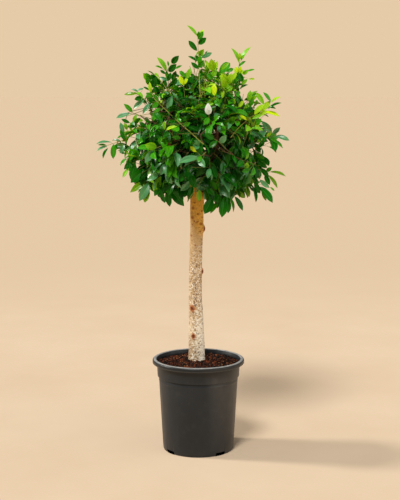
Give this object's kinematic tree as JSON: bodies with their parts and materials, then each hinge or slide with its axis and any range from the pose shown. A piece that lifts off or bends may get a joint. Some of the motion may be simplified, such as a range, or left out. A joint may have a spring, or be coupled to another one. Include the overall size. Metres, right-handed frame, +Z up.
{
  "type": "potted standard fig topiary",
  "caption": "Standard topiary: small-leaved fig with a clear straight stem and a loose leafy ball, in a round plastic nursery pot filled with bark compost.",
  "frame": {"origin": "centre of the pot's flat underside, on the surface it stands on", "axes": "+Z up along the stem, -Y towards the front, +X to the right seen from the front"},
  "size_m": [0.6397, 0.5128, 1.422],
  "materials": {
    "pot": "satin",
    "compost": "matte",
    "bark": "matte",
    "bough_bark": "matte",
    "leaves": "satin",
    "young_leaves": "satin"
  },
  "bodies": {
    "root": {"bough_back_left": "bough_bark", "bough_back_right": "bough_bark", "bough_centre": "bough_bark", "bough_front_left": "bough_bark", "bough_front_right": "bough_bark", "bough_left": "bough_bark", "bough_low_back": "bough_bark", "bough_low_left": "bough_bark", "bough_low_right": "bough_bark", "bough_right": "bough_bark", "compost": "compost", "foliage_lower_back": "leaves", "foliage_lower_back_left": "leaves", "foliage_lower_back_right": "leaves", "foliage_lower_front_left": "leaves", "foliage_lower_front_right": "leaves", "foliage_middle_back_left": "leaves", "foliage_middle_back_right": "leaves", "foliage_middle_front_left": "leaves", "foliage_middle_front_right": "leaves", "foliage_middle_left": "leaves", "foliage_middle_right": "leaves", "foliage_top": "leaves", "foliage_upper_back_left": "leaves", "foliage_upper_back_right": "leaves", "foliage_upper_front": "leaves", "foliage_upper_left": "leaves", "foliage_upper_right": "leaves", "pot": "pot", "spray_back_high": "young_leaves", "spray_back_left": "young_leaves", "spray_back_right": "young_leaves", "spray_far_left": "young_leaves", "spray_far_right": "young_leaves", "spray_leader": "young_leaves", "spray_left_high": "young_leaves", "spray_low_corner": "young_leaves", "spray_low_front": "young_leaves", "spray_low_left": "young_leaves", "spray_low_right": "young_leaves", "spray_right_high": "young_leaves", "spray_upper_left": "young_leaves", "spray_upper_right": "young_leaves", "trunk": "bark"}
  },
  "joints": []
}
